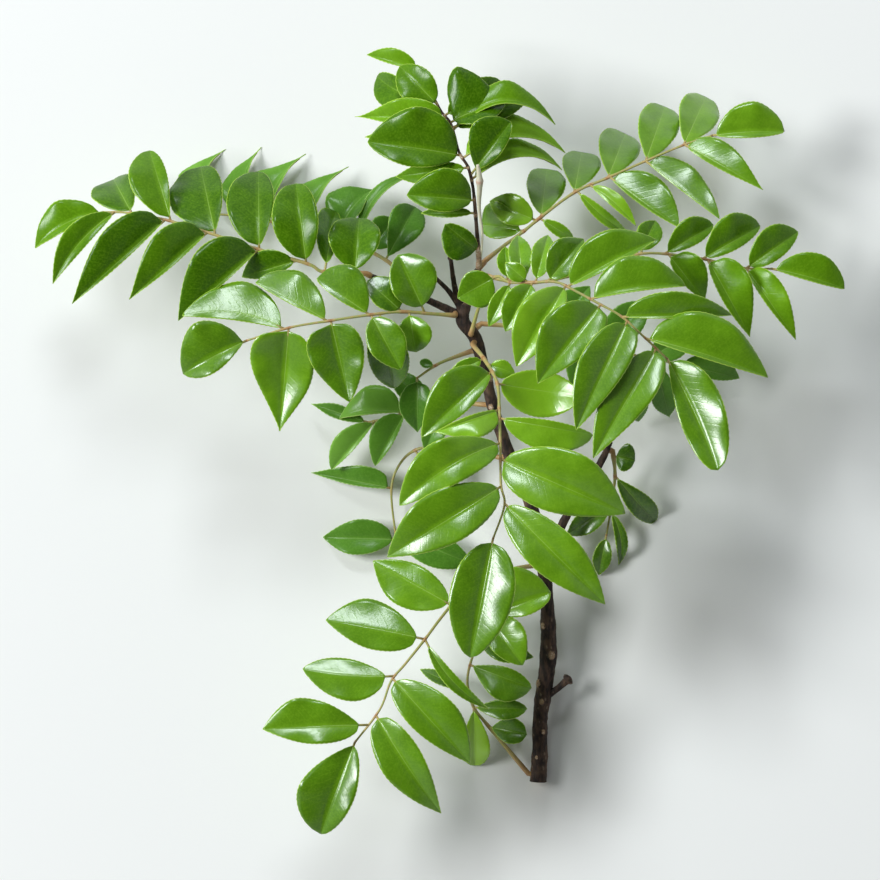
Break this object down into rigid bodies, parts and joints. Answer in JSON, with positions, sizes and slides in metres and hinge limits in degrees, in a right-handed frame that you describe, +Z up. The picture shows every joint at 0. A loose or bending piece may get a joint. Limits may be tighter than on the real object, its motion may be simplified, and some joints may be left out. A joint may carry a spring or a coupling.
{
  "type": "leafy sprig",
  "caption": "A cut sprig of curry leaf lying on a surface: a dark woody stem with pinnate compound leaves spreading from its crown and along its length.",
  "frame": {"origin": "on the surface the sprig lies on, under the middle of its outline", "axes": "+X along the widest spread of the leaves, +Y from the cut end of the stem to the crown, +Z up from the surface"},
  "size_m": [0.3247, 0.3149, 0.0986],
  "materials": {
    "bark": "dark brown bark, matt, with pale scars",
    "leaf": null,
    "leaf_pale": null,
    "young_shoot": null
  },
  "bodies": {
    "root": {"woody_stem": "bark", "frond_left_upper": "leaf", "frond_left_rear": "leaf_pale", "frond_left_lower": "leaf", "frond_top": "leaf", "frond_right_upper": "leaf", "frond_right_middle": "leaf", "frond_right_front": "leaf", "frond_centre_front": "leaf", "frond_lower_left": "leaf", "frond_base_rear": "leaf", "frond_left_back": "leaf_pale", "frond_left_low": "leaf_pale", "frond_right_rear": "leaf", "frond_right_pale": "leaf_pale", "frond_young_left": "leaf_pale", "young_shoot": "young_shoot"}
  },
  "joints": []
}
